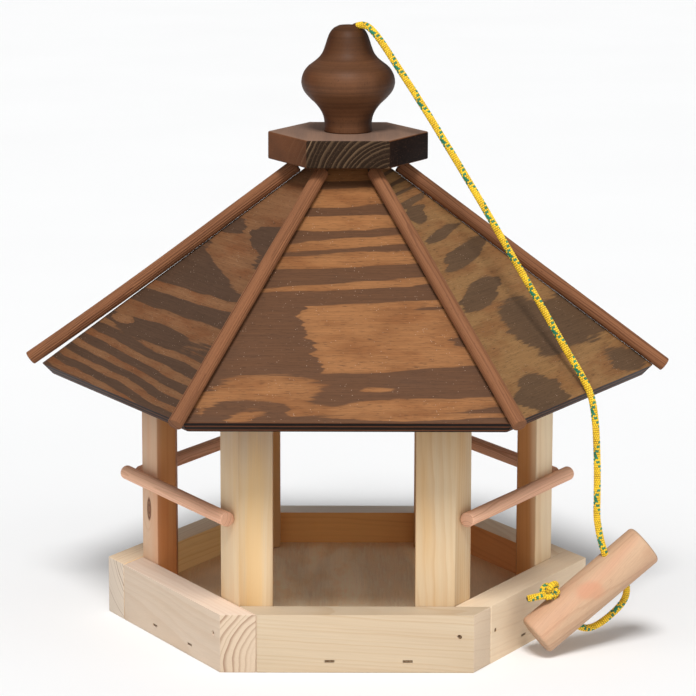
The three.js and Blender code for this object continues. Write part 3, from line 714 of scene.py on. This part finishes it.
def plywood(name, to_face, tones, edge_tones, figure, seed, stripes=(), fields=(), bias=-0.4, thickness=10.0,
            plies=5, dust=0.6, ragged=1.0, fibres=0.75, pores=0.7, roughness=0.6):
    """Rotary-cut veneer with its grain along X, and the plies on the edges.

    figure lists the veneer's mounds (x, y, half width, half height, turn, amount) in millimetres, and
    stripes its straight bands (period, light line's height, from, to, slope, amount), and fields its broad
    parts (left edge, its lean, right edge, bottom, top, their slope, amount). Where the sum is above zero
    the veneer is earlywood.
    """
    light, dark, warm = tones
    made = Finish(name)
    point = made.place(to_face)
    x, y, z = made.axes(point)
    sway = made.noise(point, (9.0, 28.0, 28.0), 3.0, offset=seed)
    bent_y = made.plus(y, made.centred(sway, 13 * MM))
    tear = made.noise(point, (7.0, 90.0, 90.0), 3.0, 0.6, seed + 5)
    bent_x = made.plus(x, made.centred(tear, 46 * MM * ragged))
    bent = made.join(bent_x, bent_y, 0.0)
    field = [bias]
    for cx, cy, half_x, half_y, turn, amount in figure:
        mound = made.bump_at(bent, (cx * MM, cy * MM, 0.0), (half_x * MM, half_y * MM, 1.0), turn)
        field.append(made.times(mound, amount))
    for left, lean, right, bottom, top, slope, amount in fields:
        inward = made.minus(bent_x, made.times(bent_y, lean))
        upward = made.minus(bent_y, made.times(bent_x, slope))
        across = made.math("MINIMUM", made.rise(inward, (left - 8) * MM, (left + 8) * MM),
                           made.fall(bent_x, (right - 8) * MM, (right + 8) * MM))
        upright = made.math("MINIMUM", made.rise(upward, (bottom - 4) * MM, (bottom + 4) * MM),
                            made.fall(upward, (top - 4) * MM, (top + 4) * MM))
        field.append(made.times(made.math("MINIMUM", across, upright), amount))
    for period, line, low, high, slope, amount in stripes:
        slanted = made.minus(bent_y, made.times(x, slope))
        phase = made.times(made.minus(slanted, line * MM), 2 * math.pi / (period * MM))
        window = made.times(made.rise(slanted, (low - 3) * MM, low * MM),
                            made.fall(slanted, high * MM, (high + 3) * MM))
        wave = made.times(made.math("COSINE", phase), amount)
        field.append(made.times(wave, window))
    fray = made.noise(point, (30.0, 420.0, 420.0), 3.0, 0.65, offset=seed + 9)
    field.append(made.centred(fray, 0.62 * ragged))
    level = made.total(field)
    is_light = made.rise(level, -0.07, 0.1)
    fibre = made.noise(point, (30.0, 1300.0, 1300.0), 3.0, 0.6, offset=seed + 13)
    blotch = made.noise(point, (24.0, 70.0, 70.0), 3.0, 0.6, offset=seed + 19)
    warmed = made.mix(made.rise(blotch, 0.4, 0.68), light, warm)
    depth_tone = made.rise(level, 0.0, 1.2)
    warmed = made.varied(warmed, depth_tone, 0.16, 0.98)
    shadowed = made.varied(dark, blotch, 0.36)
    face = made.mix(is_light, shadowed, warmed)
    face = made.shade(face, made.plus(1.0, made.centred(fibre, fibres)))
    pits = made.noise(point, (170.0, 2300.0, 2300.0), 1.0, offset=seed + 29)
    face = made.mix(made.times(made.rise(pits, 0.6, 0.72), pores), face, made.shade(dark, 0.55))
    if dust:
        face = speckle(made, face, point, 420.0, 0.2 * dust)

    layer = made.math("DIVIDE", made.times(z, -1.0), thickness / plies * MM)
    uneven = made.centred(made.noise(point, (40.0, 40.0, 160.0), 2.0, offset=seed + 31), 0.35)
    layer = made.plus(layer, uneven)
    cross = made.rise(made.math("PINGPONG", layer, 1.0), 0.15, 0.45)
    glue = made.math("PINGPONG", made.plus(layer, 0.5), 0.5)
    ply = made.mix(cross, *edge_tones)
    ply = made.varied(ply, made.rise(glue, 0.0, 0.16), 0.4, 0.8)
    ply = made.varied(ply, made.noise(point, (300.0, 300.0, 900.0), 2.0, 0.6, seed), 0.5)
    on_face = made.rise(made.square_to(to_face.to_3x3().row[2]), 0.6, 0.8)
    colour = made.mix(on_face, ply, face)
    height = made.plus(made.times(fibre, 0.7), made.times(is_light, -0.25))
    rough = made.plus(roughness, made.centred(blotch, 0.2))
    return made.finish(colour, rough, height, 0.15 * MM, specular=0.12)


def scattered_figure(seed, count, reach, height):
    """Mounds strewn over a panel whose figure no side shows elsewhere."""
    draw = random.Random(seed)
    mounds = []
    for number in range(count):
        amount = draw.choice((-1.3, 1.3, 1.6))
        mounds.append((draw.uniform(-reach, reach), height * (number + 0.5) / count, draw.uniform(30, 90),
                       draw.uniform(8, 26), draw.uniform(-0.2, 0.2), amount))
    return mounds


ROOF_FIGURES = {
    "front": dict(
        figure=[
            (80, 66, 18, 9, 0.0, -1.6), (58, 92, 40, 4, 0.05, -0.7), (96, 84, 30, 5, 0.1, -1.0),
            (-62, 20, 58, 26, 0.1, 1.5), (-66, 3, 32, 24, 0.0, -2.3), (-66, 2, 23, 14, 0.0, 2.6),
            (48, 13, 110, 9, 0.07, 1.5), (20, 27, 22, 4, 0.0, 1.0), (60, 4, 90, 4, 0.03, 1.0),
            (5, 113, 120, 5, 0.06, 1.1), (0, 134, 120, 9, 0.04, 1.5), (6, 149, 110, 7, 0.07, 1.3),
            (0, 167, 100, 10, 0.03, 1.5), (0, 190, 90, 11, 0.06, 1.5), (0, 209, 80, 8, 0.04, 1.4),
        ],
        fields=[(0, -0.34, 200, 41, 96, 0.05, 0.95)], bias=-0.42,
        tones=(paint(142, 95, 56), paint(88, 58, 37), paint(126, 80, 45)), seed=3.0),
    "front_left": dict(
        figure=[
            (10, 182, 62, 44, 0.0, 1.2), (18, 150, 22, 13, 0.0, -1.9), (-34, 150, 26, 9, 0.0, -1.3),
            (0, 126, 60, 16, -0.35, 1.4), (-30, 106, 80, 22, -0.1, -0.9), (0, 88, 110, 6, 0.03, 1.7),
            (0, 78, 110, 10, 0.05, -1.3), (-10, 65, 100, 11, 0.0, 1.1), (-22, 52, 66, 11, 0.0, -1.5),
            (-62, 54, 22, 5, 0.0, 2.4),
        ],
        stripes=[(11.0, 22, -5, 46, -0.05, 0.55)], bias=-0.05,
        tones=(paint(122, 85, 57), paint(78, 57, 43), paint(113, 72, 45)), seed=11.0),
    "front_right": dict(
        figure=[
            (-2, 171, 26, 10, 0.35, -1.6), (8, 149, 46, 6, 0.15, -1.2), (12, 129, 56, 9, 0.2, -1.6),
            (-16, 97, 48, 13, 0.2, -1.7), (16, 60, 54, 34, -0.1, -1.5), (-50, 12, 42, 24, 0.0, -1.6),
            (76, 58, 44, 34, 0.3, -1.1), (84, 14, 44, 20, 0.0, -1.0),
        ],
        stripes=[(9.0, 184, 176, 230, 0.15, 0.7)], bias=0.42,
        tones=(paint(141, 105, 67), paint(90, 68, 49), paint(130, 90, 56)), seed=19.0),
    "back_right": dict(figure=scattered_figure(5, 9, 70, 200), bias=-0.3,
                       stripes=[(15.0, 150, 120, 230, 0.06, 1.0)],
                       tones=(paint(137, 89, 51), paint(78, 54, 36), paint(124, 76, 42)), seed=27.0),
    "back": dict(figure=scattered_figure(12, 10, 70, 200), bias=-0.25,
                 stripes=[(13.0, 60, 20, 100, -0.05, 0.9)],
                 tones=(paint(143, 92, 53), paint(80, 55, 36), paint(128, 78, 44)), seed=35.0),
    "back_left": dict(figure=scattered_figure(31, 9, 70, 200), bias=-0.3,
                      stripes=[(17.0, 170, 110, 230, 0.03, 1.0)],
                      tones=(paint(133, 86, 50), paint(77, 53, 36), paint(120, 74, 42)), seed=43.0),
}
EAVE_TONES = (paint(96, 54, 32), paint(18, 8, 4))

for side, facing in SIDES.items():
    panel = ease(f"roof_panel_{side}", 0.4 * MM, lambda p: p.z < EAVE_HEIGHT + 0.01 * MM)
    dress(panel, plywood(f"stained_plywood_{side}", roof_frame(facing), edge_tones=EAVE_TONES,
                         **ROOF_FIGURES[side]))

floor_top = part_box("floor_panel")[1].z
floor_face = Matrix.Rotation(math.radians(90), 4, "Z") @ Matrix.Translation((0, 0, -floor_top))
floor_figure = scattered_figure(8, 9, 110, 220)
floor_figure = [(x, y - 110, 2 * w, h, turn, amount) for x, y, w, h, turn, amount in floor_figure]
floor = ease("floor_panel", 0.3 * MM, lambda p: False)
FLOOR_TONES = (paint(255, 230, 192), paint(240, 208, 168), paint(250, 214, 166))
FLOOR_EDGE_TONES = (paint(190, 155, 118), paint(150, 112, 80))
dress(floor, plywood("floor_plywood", floor_face, FLOOR_TONES, FLOOR_EDGE_TONES, floor_figure, 51.0, bias=0.0,
                     thickness=16.0, plies=9, dust=0, ragged=1.4, fibres=0.2, pores=0.2))

# ------------------------------------------------------------------ dowels


def rod_frame(start, end):
    """Carries a rod to one that runs along +X from the origin."""
    along = (Vector(end) - Vector(start)).normalized()
    turn = along.rotation_difference(Vector((1, 0, 0))).to_matrix().to_4x4()
    return turn @ Matrix.Translation(-Vector(start))


def dowel(name, start, end, radius, body, slot, replaced, flutes=0, depth=0.0, seed=0, bow=0.0):
    """A round rod with eased ends, fluted where it is made that way, and a little out of true."""
    start, end = Vector(start), Vector(end)
    back = rod_frame(start, end).inverted()
    length = (end - start).length
    sides = flutes * 6 if flutes else 48
    edge = 0.7 * MM
    ends = [(edge * (1 - math.cos(a)), edge * (1 - math.sin(a))) for a in (0.0, 0.5, 1.0, math.pi / 2)]
    rows = [*ends, *((length * i / 60, 0.0) for i in range(1, 60))]
    rows += [(length - x, inset) for x, inset in reversed(ends)]
    draw = random.Random(seed)
    waves = [(draw.uniform(1, 5), draw.uniform(0, 6.3), draw.uniform(0.02, 0.06) * MM) for _ in range(4)]
    vertices = []
    for x, inset in rows:
        off = sum(size * math.sin(cycles * math.pi * x / length + phase) for cycles, phase, size in waves)
        lifted = bow * max(0.0, 1 - x / (0.62 * length)) ** 2
        for i in range(sides):
            a = 2 * math.pi * i / sides
            groove = depth * (0.5 - 0.5 * math.cos(a * flutes)) ** 3 if flutes else 0.0
            r = radius - inset - groove - 0.05 * MM + 0.5 * off
            vertices.append(back @ Vector((x, r * math.cos(a), r * math.sin(a))) + Vector((0, 0, lifted)))
    faces = skin((len(rows), sides))
    return mesh_piece(name, vertices, faces, body, replaced)


def dowel_wood(name, start, end, tones, seed, ring=1.3, **facts):
    across = (7 * math.sin(seed), 7 * math.cos(seed))
    return solid_wood(name, grain_frame(rod_frame(start, end), across, 0.5, 0.4), tones, ring, seed, **facts)


STAINED_BEECH = (paint(134, 89, 60), paint(74, 42, 28), paint(115, 76, 52))
FLUTED_DOWELS = ("left", "front_left", "back_left", "back_right")
hip_fall = math.tan(HIP_SLOPE)
tip_height = (EAVE_HEIGHT + (EAVE_CORNER_RADIUS - HIP_DOWEL_TIP_RADIUS) * hip_fall
              + HIP_DOWEL_RADIUS / math.cos(HIP_SLOPE))
top_height = CAP_UNDERSIDE - GAP - HIP_DOWEL_RADIUS * math.cos(HIP_SLOPE)
for corner, bearing in CORNERS.items():
    tip = heading(bearing) * HIP_DOWEL_TIP_RADIUS + Vector((0, 0, tip_height))
    climb = top_height - tip_height
    top = tip - heading(bearing) * (climb / hip_fall) + Vector((0, 0, climb))
    flute_depth = (0.45 if corner in FLUTED_DOWELS else 0.12) * MM
    rod = dowel(f"hip_batten_{corner}", tip, top, HIP_DOWEL_RADIUS, "feeder", "stained_beech",
                [f"hip_dowel_{corner}"], 18, flute_depth, seed=bearing,
                bow=BOWED_DOWEL_LIFT if corner == "left" else 0.0)
    dress(rod, dowel_wood(f"stained_beech_{corner}", tip, top, STAINED_BEECH, 60 + bearing / 9, pores=0.6,
                          streak=0.5, patch=0.5, specular=0.12))

BEECH = (paint(242, 190, 156), paint(194, 134, 100), paint(226, 168, 136))
BEECH_END = (paint(206, 158, 128), paint(150, 104, 82))
POST_FACE_APOTHEM = BASE_APOTHEM - BOARD_THICKNESS - GAP
for side, shift in PERCH_SHIFTS.items():
    turn = Matrix.Rotation(math.radians(SIDES[side] - 270), 4, "Z")
    out = POST_FACE_APOTHEM + GAP + PERCH_RADIUS
    tips = [turn @ Vector((shift * MM + end * PERCH_LENGTH / 2, -out, PERCH_HEIGHT)) for end in (-1, 1)]
    rod = dowel(f"perch_rod_{side}", *tips, PERCH_RADIUS, "feeder", "beech", [f"perch_{side}"],
                seed=SIDES[side])
    dress(rod, dowel_wood(f"beech_{side}", *tips, BEECH, 80 + SIDES[side] / 11, pores=0.35, streak=0.3,
                          end_tones=BEECH_END))

# ------------------------------------------------------------------ cap and finial

STAINED_PINE = (paint(104, 64, 40), paint(134, 98, 72), paint(86, 54, 35))
CAP_END_TONES = (paint(41, 29, 20), paint(130, 104, 78))
# Painted light and shade on the cap's faces.
CAP_SHEEN_AND_SHADE = [
    (Vector((0, 0, 1)), 0.7, 0.9, (1.75, 2.8, 4.6)),  # painted sheen: the top made lighter and greyer
    (heading(0), 0.7, 0.85, (0.055, 0.034, 0.016)),  # painted shade: the right-hand faces made much darker
]
cap_grain = grain_frame(Matrix.Rotation(math.radians(-90), 4, "Z"), (-33, 308), 0.0, 0.0)
cap = ease("cap_block", 1.2 * MM, lambda p: p.xy.length > 2 * TENON_RADIUS, 4)
dress(cap, solid_wood("dark_stain_cap", cap_grain, STAINED_PINE, 3.1, 91.0, line=0.02, end_line=0.95,
                      wander=0.6, end_tones=CAP_END_TONES, streak=0.45, patch=0.8, pores=0.6,
                      painted_shading=CAP_SHEEN_AND_SHADE, specular=0.06))

# Outline of the turned finial: [radius, height above the cap]
FINIAL_OUTLINE = [
    (16.7, 0.3), (16.4, 6), (17, 10), (18.6, 14), (22.2, 19), (27, 23.7), (30.8, 28.6), (32.3, 34.2),
    (31, 40), (28.2, 44.3), (23.6, 48), (20.4, 50.8), (18, 54), (16.1, 58.6), (14.7, 63), (13, 67.4),
    (10.4, 70.8), (6.6, 72.9),
]
FINIAL_HEIGHT = FINIAL_OUTLINE[-1][1]


def finial_piece():
    """The turned finial, with its tool marks, and the groove that the rope has worn in its crown."""
    outside = smooth_route([(r, 0, z) for r, z in FINIAL_OUTLINE], 12)
    outside, _ = evenly(outside, 0.55)
    mouth = ROPE_BORE_RADIUS / MM
    tenon = TENON_RADIUS / MM
    foot = -TENON_LENGTH / MM
    profile = [(mouth, foot), (tenon, foot), (tenon, 0.3)]
    marks = random.Random(7)
    for r, _, z in outside:
        profile.append((r - 0.04 - 0.05 * math.sin(z * 2 * math.pi / 1.3) - marks.uniform(0, 0.05), z))
    profile += [(5.6, FINIAL_HEIGHT + 0.1), (4.6, FINIAL_HEIGHT - 0.1), (mouth + 0.4, FINIAL_HEIGHT - 0.5),
                (mouth, FINIAL_HEIGHT - 1.2)]
    profile += [(mouth, z) for z in np.linspace(FINIAL_HEIGHT - 2, foot + 1, 50)]
    sides = 144
    angles = [2 * math.pi * i / sides for i in range(sides)]
    vertices = np.array([(r * MM * math.cos(a), r * MM * math.sin(a), CAP_TOP + z * MM)
                         for r, z in profile for a in angles])
    near_rope = rope_path[rope_path[:, 2] > CAP_TOP]
    clear = ROPE_RADIUS + 0.15 * MM
    for number, vertex in enumerate(vertices):
        away = vertex - near_rope
        distance = np.linalg.norm(away, axis=1)
        nearest = int(distance.argmin())
        if 1e-6 < distance[nearest] < clear:
            vertices[number] = near_rope[nearest] + away[nearest] * (clear / distance[nearest])
    faces = []
    for row in range(len(profile)):
        this, above = row * sides, (row + 1) % len(profile) * sides
        for i in range(sides):
            beside = (i + 1) % sides
            faces.append((this + i, this + beside, above + beside, above + i))
    piece = mesh_piece("finial_turned", vertices, faces, "feeder", ["finial"])
    grain = grain_frame(Matrix.Rotation(math.radians(90), 4, "Y"), (24, 30), 1.0, 1.0)
    tones = (paint(98, 63, 40), paint(53, 30, 18), paint(80, 51, 32))
    # Painted shade on the finial's right and left sides; the crown factor darkens it towards its top.
    painted_shading = [(heading(0), 0.3, 0.95, (0.4, 0.34, 0.25)), (heading(180), 0.45, 0.95, (0.75, 0.6, 0.45))]
    crown = (CAP_TOP + 44 * MM, CAP_TOP + 60 * MM, (0.62, 0.57, 0.48))
    dress(piece, solid_wood("dark_stain_finial", grain, tones, 3.0, 97.0, line=0.03, end_line=0.1, streak=0.3,
                            pores=0.9, patch=0.6, turned=0.9, roughness=0.5, specular=0.14, painted_shading=painted_shading,
                            crown=crown))


finial_piece()

# ------------------------------------------------------------------ rope and knots


def rope_finish(name, hollow_shade, bright):
    made = Finish(name)
    point = made.at_rest()
    yarn = made.noise(point, (2600.0, 2600.0, 2600.0), 2.0)
    worn = made.noise(point, (220.0, 220.0, 220.0), 2.0)
    stand = made.node("ShaderNodeAttribute", attribute_name="stand").outputs["Fac"]
    open_to_light = made.total([stand, made.centred(yarn, 0.35), made.centred(worn, 0.3)])
    # Painted shade: the colour goes to the darker tone where strands sink into the weave's hollows, with
    # random wear mixed in.
    colour = made.mix(made.rise(open_to_light, 0.6, 0.93), hollow_shade, bright)
    colour = made.varied(colour, worn, 0.2)
    made.surface.inputs["Sheen Weight"].default_value = 0.1
    return made.finish(colour, made.plus(0.36, made.centred(yarn, 0.2)), yarn, 0.15 * MM)


# The first colour of each is painted shade in the weave's hollows.
ROPE_FINISHES = [
    rope_finish("rope_yellow", paint(136, 82, 4), paint(252, 210, 42)),
    rope_finish("rope_green", paint(4, 58, 40), paint(40, 142, 104)),
    rope_finish("rope_charred", paint(26, 22, 10), paint(92, 84, 36)),
]


def rope_piece(name, path, body, replaced, girth=None, cut=False):
    vertices, faces, kinds, heights = braid(path, np.ones(len(path)) if girth is None else girth, cut)
    piece = mesh_piece(name, vertices, faces, body, replaced)
    for finish in ROPE_FINISHES:
        piece.data.materials.append(finish)
    piece.data.polygons.foreach_set("material_index", kinds)
    stand = piece.data.attributes.new("stand", "FLOAT", "POINT")
    stand.data.foreach_set("value", heights)
    return piece


braided_rope = rope_piece("rope_braided", rope_path, "feeder", ["hanging_rope"])
end_lead = [on_toggle(-22, -11.5), on_toggle(-22, -14)]
end_line, end_girth = knotted(end_lead, END_KNOT, THROUGH, END_TAIL, END_TAIL)
rope_piece("rope_tied_end", end_line, "feeder", ["rope_end_knot"], end_girth, cut=True)
bore_lead = [Vector((*rope_path[0][:2], z)) for z in (rope_path[0][2], CAP_TOP, CAP_UNDERSIDE)]
stop_line, stop_girth = knotted(bore_lead, STOP_KNOT, Vector((0, 0, 1)), STOP_TAIL, STOP_TAIL)
rope_piece("rope_through_finial", stop_line, "feeder", ["rope_in_bore", "rope_stop_knot"], stop_girth,
           cut=True)

# ------------------------------------------------------------------ toggle

PINE = (paint(194, 160, 130), paint(160, 114, 84), paint(200, 138, 106))
PINK_PATCH = paint(196, 118, 84)


HOLE_SIDES = 64


def drill_toggle(piece, middle):
    """Cuts one rope hole through the toggle, wider at its mouths, where the rope has worn it."""
    across = ALONG.cross(THROUGH)
    rows = []
    for depth in np.linspace(-1.25, 1.25, 41):
        flare = max(0.0, abs(depth) * TOGGLE_RADIUS - (TOGGLE_RADIUS - 2.6 * MM)) / MM
        rows.append((depth * TOGGLE_RADIUS, TOGGLE_HOLE_RADIUS + 0.28 * flare**2 * MM))
    wall = []
    for through, r in rows:
        for i in range(HOLE_SIDES):
            a = 2 * math.pi * i / HOLE_SIDES
            centre = on_toggle(middle / MM, through / MM)
            wall.append(centre + ALONG * (r * math.cos(a)) + across * (r * math.sin(a)))
    data = bpy.data.meshes.new("drill")
    data.from_pydata([tuple(v) for v in wall], [], skin((len(rows), HOLE_SIDES)))
    tool = bpy.data.objects.new("drill", data)
    bpy.context.scene.collection.objects.link(tool)
    cut = piece.modifiers.new("hole", "BOOLEAN")
    cut.operation = "DIFFERENCE"
    cut.object = tool
    cut.solver = "EXACT"
    bpy.context.view_layer.update()
    drilled = bpy.data.meshes.new_from_object(piece.evaluated_get(bpy.context.evaluated_depsgraph_get()))
    piece.modifiers.clear()
    piece.data = drilled
    bpy.data.objects.remove(tool)


def toggle_piece():
    """The wooden toggle: a whittled round with eased ends and two rope holes."""
    length = TOGGLE_LENGTH
    start, end = on_toggle(-length / MM / 2, 0), on_toggle(length / MM / 2, 0)
    turn = Matrix((ALONG, THROUGH, ALONG.cross(THROUGH))).transposed().to_4x4()
    back = Matrix.Translation(start) @ turn
    corner = TOGGLE_END_ROUNDING
    ends = [(corner * (1 - math.cos(a)), corner * (1 - math.sin(a))) for a in np.linspace(0, math.pi / 2, 7)]
    rows = [(0.0, TOGGLE_RADIUS - 0.4 * MM), (0.0, TOGGLE_RADIUS / 2), *ends]
    rows += [(corner + (length - 2 * corner) * i / 90, 0.0) for i in range(1, 90)]
    rows += [(length - x, inset) for x, inset in reversed(ends)]
    rows += [(length, TOGGLE_RADIUS / 2), (length, TOGGLE_RADIUS - 0.4 * MM)]
    draw = random.Random(4)
    dents = [(draw.uniform(0, 6), draw.uniform(0, 6.3), draw.choice((1, 2, 3, 5)),
              draw.uniform(0.05, 0.16) * MM) for _ in range(7)]
    sides = 96
    vertices = []
    for x, inset in rows:
        for i in range(sides):
            a = 2 * math.pi * i / sides
            off = sum(size * math.sin(around * a + lap * x / length + phase)
                      for lap, phase, around, size in dents)
            r = max(0.3 * MM, TOGGLE_RADIUS - inset + 0.5 * MM + 0.6 * off * (1 - inset / TOGGLE_RADIUS))
            vertices.append(back @ Vector((x, r * math.cos(a), r * math.sin(a))))
    piece = mesh_piece("toggle_turned", vertices, skin((len(rows), sides)), "toggle",
                       ["hanging_toggle"])
    for middle in (-TOGGLE_HOLE_SPACING / 2, TOGGLE_HOLE_SPACING / 2):
        drill_toggle(piece, middle)
    grain = grain_frame(rod_frame(start, end), (9, -14), 7.0, -5.0)
    knots = [((190, -111, 87), (0.8, 0.8, 0.8)), ((178, -111, 54), (0.9, 0.9, 0.9))]
    stains = [((192, -111, 79), (12, 12, 8), PINK_PATCH, 0.3),
              ((164, -111, 47), (15, 12, 9), PINK_PATCH, 0.35)]
    dress(piece, solid_wood("pine_toggle", grain, PINE, 2.8, 103.0, line=0.42, streak=0.3, pores=0.3,
                            patch=0.4, wander=1.3, knots=knots, stains=stains))


toggle_piece()

# ------------------------------------------------------------------ brads and staples


def steel(name, rust):
    made = Finish(name)
    point = made.at_rest()
    cloud = made.noise(point, (900.0, 900.0, 900.0), 3.0, 0.6)
    colour = made.mix(made.rise(cloud, 0.62 - rust, 0.9 - rust), paint(132, 112, 86), paint(92, 60, 36))
    made.surface.inputs["Metallic"].default_value = 0.25
    return made.finish(colour, made.plus(0.35, made.times(cloud, 0.3)), cloud, 0.05 * MM)


STEEL = steel("steel_wire", 0.25)
for node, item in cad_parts.items():
    if "brad" in node or "staple" in node:
        dress(item, STEEL)

# ------------------------------------------------------------------ floor and studio


def make_studio():
    bpy.ops.mesh.primitive_plane_add(size=40)
    floor = bpy.context.object
    floor.name = "studio_floor"
    made = Finish("studio_floor_paint")
    grain = made.noise(made.at_rest(), (3.0, 3.0, 3.0), 2.0)
    colour = made.mix(grain, paint(238, 238, 238), paint(242, 242, 242))
    dress(floor, made.finish(colour, 0.9, grain, 0.1 * MM))

    world = bpy.data.worlds.new("studio")
    bpy.context.scene.world = world
    world.use_nodes = True
    sky = world.node_tree.nodes["Background"]
    sky.inputs["Color"].default_value = (0.97, 0.985, 1.0, 1.0)
    sky.inputs["Strength"].default_value = 0.27

    def broad_light(name, bearing, height, spread, strength):
        """A far, soft light: degrees round from the camera's side, above the horizon and across."""
        data = bpy.data.lights.new(name, "SUN")
        data.angle = math.radians(spread)
        data.energy = strength * math.pi
        light = bpy.data.objects.new(name, data)
        bpy.context.scene.collection.objects.link(light)
        light.rotation_euler = (math.radians(90 - height), 0.0, math.radians(bearing))

    broad_light("key", -4, 53, 18, 0.86)
    broad_light("left_fill", -60, 45, 50, 0.13)
    broad_light("right_fill", 55, 25, 50, 0.15)
    broad_light("low_fill", 0, 15, 60, 0.15)
    bpy.context.scene.view_settings.view_transform = "Standard"


make_studio()
